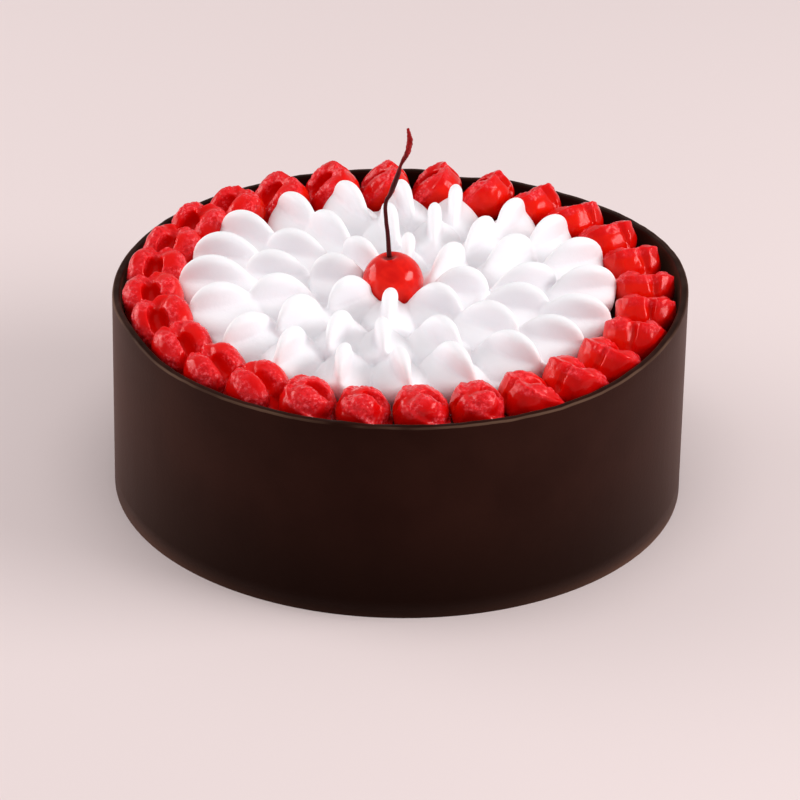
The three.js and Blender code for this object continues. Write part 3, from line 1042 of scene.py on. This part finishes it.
# %% Stem
STEM_R = 0.65 * MM
STEM_PATH = (
    (-4.0, 0.0, 85.8), (-4.7, 0.7, 94.7), (-5.3, 1.2, 99.4), (-5.3, 1.4, 106.6),
    (-4.1, 1.5, 108.9), (-2.8, 1.5, 112.6), (-1.4, 1.5, 116.8), (-0.6, 1.4, 120.1),
    (0.9, 1.3, 123.4), (1.9, 1.2, 126.2), (2.4, 1.1, 129.9), (2.1, 1.0, 132.2),
    (1.6, 1.0, 134.2),
)
STEM_THICKNESS = (1.35, 1.15, 1.1, 1.05, 1.2, 1.5, 1.3, 0.85, 1.3, 1.6, 1.5, 1.0, 0.6)
STEM_KNOBS = 0.7 * MM
KNOB_SIZE = 1.2 * MM
TORN_FROM = 121
TORN_OVER = 4
STEM_RED = (0.060, 0.003, 0.005)
TIP_RED = (0.36, 0.008, 0.008)
SHEATH_BROWN = (0.045, 0.013, 0.013)
STREAK_RED = (0.05, 0.002, 0.002)


def stem_finish():
    finish = Finish("cherry stem")
    height = finish.height()
    streaks = finish.noise(700, 3, 0.6, finish.mapped(Scale=(1, 1, 0.2)))
    colour = finish.blend(finish.band(height, 116 * MM, 124 * MM), STEM_RED, TIP_RED)
    below_tip = 1 - finish.band(height, 114 * MM, 119 * MM)
    sheath = finish.band(height, 107 * MM, 111 * MM) * below_tip
    colour = finish.blend(sheath * 0.6, colour, SHEATH_BROWN)
    colour = finish.blend(finish.band(streaks, 0.42, 0.62) * 0.7, colour, STREAK_RED)
    return finish.surface({"Base Color": colour, "Roughness": 0.32 + 0.15 * streaks,
                           "Normal": finish.bump(streaks, 0.25 * MM),
                           "Specular IOR Level": 0.25, "Specular Tint": (1.0, 0.5, 0.5)})


bpy.ops.object.select_all(action="DESELECT")
bpy.ops.curve.primitive_bezier_curve_add(radius=1 * MM)
stem = bpy.context.object
spline = stem.data.splines[0]
spline.bezier_points.add(len(STEM_PATH) - len(spline.bezier_points))
for point, place, thickness in zip(spline.bezier_points, STEM_PATH, STEM_THICKNESS):
    point.co = Vector(place) * MM
    point.radius = thickness
    point.handle_left_type = "AUTO"
    point.handle_right_type = "AUTO"
stem.data.bevel_depth = STEM_R
stem.data.bevel_resolution = 6
stem.data.resolution_u = 16
stem.data.use_fill_caps = True
only(stem)
bpy.ops.object.convert(target="MESH")
stem = named("stem")
settle(stem)
with editing(stem):
    bpy.ops.mesh.select_all(action="SELECT")
    bpy.ops.mesh.remove_doubles(threshold=0.005 * MM)
    bpy.ops.mesh.normals_make_consistent(inside=False)
torn_share = (points(stem)[:, 2] / MM - TORN_FROM) / TORN_OVER
torn = weigh(stem, "torn", np.clip(torn_share, 0, 1))
modify(stem, "DISPLACE", mid_level=0.5, strength=STEM_KNOBS, vertex_group=torn,
       texture=clouds("knobs", KNOB_SIZE, 1))
dress(stem, stem_finish(), "stem", "cherry_stem")

# %% [markdown]
# ## Floor and light
# A plain pale floor and soft lamps show the cake as in a studio. Two wide panels stand at
# the sides, low enough to draw a soft highlight on each side of the whole cherry and a broad
# sheen on the collar. A lamp overhead, which no gloss mirrors, lights the cream evenly, and
# the grey of the world fills the shadows. A sun would give hard shadows between the petals.

# %% Floor and light
FLOOR_SIZE = 8
FLOOR_COLOUR = (0.80, 0.68, 0.67)
LAMPS_AIM = Vector((0, 0, 60 * MM))
WORLD_COLOUR = (1, 0.98, 0.99, 1)
WORLD_STRENGTH = 0.40

bpy.ops.object.select_all(action="DESELECT")
bpy.ops.mesh.primitive_plane_add(size=FLOOR_SIZE)
floor = named("floor")
pale = Finish("pale floor")
floor.data.materials.append(pale.surface({"Base Color": FLOOR_COLOUR, "Roughness": 0.8,
                                          "Specular IOR Level": 0.1}))


def panel(name, towards, distance, size, watts, glossy=True):
    lamp = bpy.data.lights.new(name, "AREA")
    lamp.shape = "ELLIPSE"
    lamp.size, lamp.size_y = size
    lamp.energy = watts
    stand = bpy.data.objects.new(name, lamp)
    bpy.context.scene.collection.objects.link(stand)
    direction = Vector(towards).normalized()
    stand.location = LAMPS_AIM + direction * distance
    stand.rotation_euler = direction.to_track_quat("Z", "Y").to_euler()
    stand.visible_glossy = glossy
    print(name, "at", [round(v, 2) for v in stand.location])


panel("left panel", (-0.933, 0.241, 0.30), 1.4, (1.5, 0.8), 11)
panel("right panel", (0.863, -0.178, 0.47), 1.4, (1.1, 0.5), 13)
panel("overhead", (0.0, -0.1, 1.0), 1.6, (1.2, 1.2), 7.5, glossy=False)
world = bpy.data.worlds.new("studio")
world.use_nodes = True
background = world.node_tree.nodes["Background"]
background.inputs["Color"].default_value = WORLD_COLOUR
background.inputs["Strength"].default_value = WORLD_STRENGTH
bpy.context.scene.world = world
bpy.context.scene.view_settings.view_transform = "Standard"
